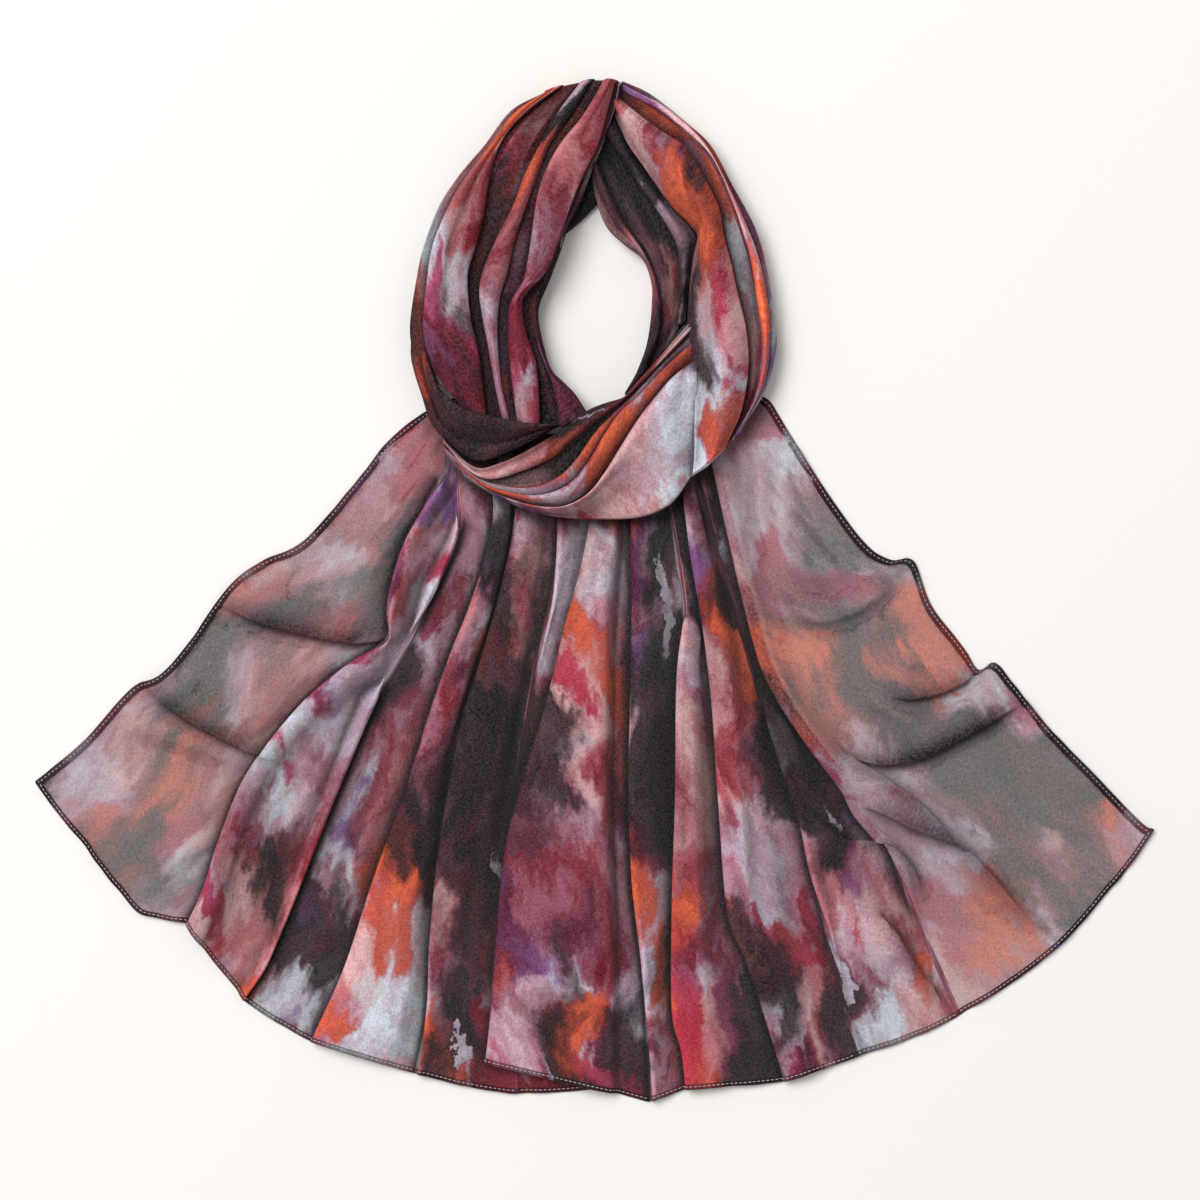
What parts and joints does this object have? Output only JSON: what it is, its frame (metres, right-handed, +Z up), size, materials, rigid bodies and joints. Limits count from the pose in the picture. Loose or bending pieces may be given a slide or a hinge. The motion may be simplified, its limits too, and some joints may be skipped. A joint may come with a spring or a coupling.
{
  "type": "chiffon scarf",
  "caption": "Long sheer chiffon scarf, wound once into an oval neck loop and laid flat, both ends fanned out in knife pleats to a narrow stitched hem.",
  "frame": {"origin": "on the table, below the middle of the scarf as it lies", "axes": "+X to the viewer's right across the fanned ends, +Y from the hem toward the crown of the neck loop, +Z up from the table"},
  "size_m": [0.726, 0.6645, 0.034],
  "materials": {
    "rose_chiffon": "sheer matt crepe chiffon, dye-bleed print in dusty rose, burgundy and orange",
    "mauve_chiffon": "sheer matt crepe chiffon, dye-bleed print in mauve-grey, plum and pale blue",
    "burgundy_chiffon": "sheer matt crepe chiffon, dye-bleed print in burgundy and mauve",
    "charcoal_chiffon": "sheer matt crepe chiffon, dye-bleed print in charcoal"
  },
  "bodies": {
    "root": {"tail_left": "rose_chiffon", "tail_right": "mauve_chiffon", "loop_left_arm": "burgundy_chiffon", "loop_left_band": "charcoal_chiffon", "loop_inner_strand": "charcoal_chiffon", "loop_right_arm": "mauve_chiffon", "loop_front_wrap": "rose_chiffon"}
  },
  "joints": []
}
